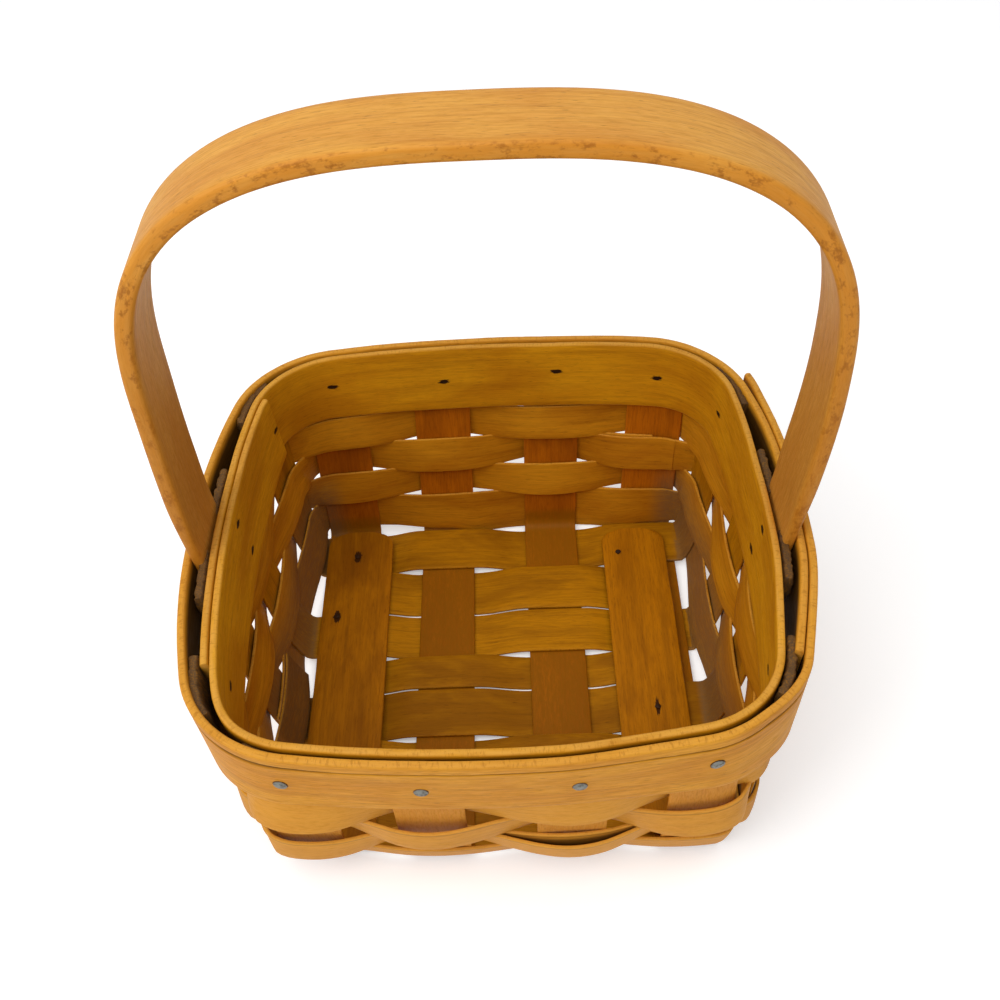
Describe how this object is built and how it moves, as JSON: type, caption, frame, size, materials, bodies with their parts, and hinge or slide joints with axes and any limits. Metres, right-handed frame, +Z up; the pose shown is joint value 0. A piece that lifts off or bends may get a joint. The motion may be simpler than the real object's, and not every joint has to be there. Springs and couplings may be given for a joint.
{
  "type": "small square splint basket",
  "caption": "Small open square basket woven from flat hardwood splints, with nailed rim bands and a fixed bent overhead handle",
  "frame": {"origin": "on the table, at the centre of the footprint of the whole part", "axes": "+X from the left handle foot to the right one, +Y from the front wall to the back wall, +Z up towards the top of the handle"},
  "size_m": [0.1799, 0.1676, 0.208],
  "materials": {
    "stake": "satin stained hardwood splint",
    "weaver": "satin stained hardwood splint",
    "slat": "satin stained hardwood",
    "band": "satin stained hardwood",
    "handle": "satin stained hardwood",
    "nail": "dull grey, slightly tarnished"
  },
  "bodies": {
    "root": {"rim_nail_front_left_outer": "nail", "rim_nail_back_left_outer": "nail", "rim_nail_front_left_inner": "nail", "rim_nail_back_left_inner": "nail", "rim_nail_front_right_inner": "nail", "rim_nail_back_right_inner": "nail", "rim_nail_front_right_outer": "nail", "rim_nail_back_right_outer": "nail", "rim_nail_left_back": "nail", "rim_nail_left_front": "nail", "rim_nail_right_back": "nail", "rim_nail_right_front": "nail", "handle_nail_left_upper": "nail", "handle_nail_left_lower": "nail", "handle_nail_right_upper": "nail", "handle_nail_right_lower": "nail", "base_brad_left_back": "nail", "base_brad_left_middle": "nail", "base_brad_right_back": "nail", "base_brad_right_front": "nail", "long_stake_left_outer": "stake", "long_stake_left_inner": "stake", "long_stake_right_inner": "stake", "long_stake_right_outer": "stake", "cross_stake_back_outer": "stake", "base_filler_back": "stake", "cross_stake_back_inner": "stake", "base_filler_middle": "stake", "cross_stake_front_inner": "stake", "base_filler_front": "stake", "cross_stake_front_outer": "stake", "base_slat_left": "slat", "base_slat_right": "slat", "weaver_1_top": "weaver", "weaver_2": "weaver", "weaver_3": "weaver", "weaver_4_bottom": "weaver", "rim_band_inner": "band", "rim_band_outer": "band", "handle": "handle"}
  },
  "joints": []
}
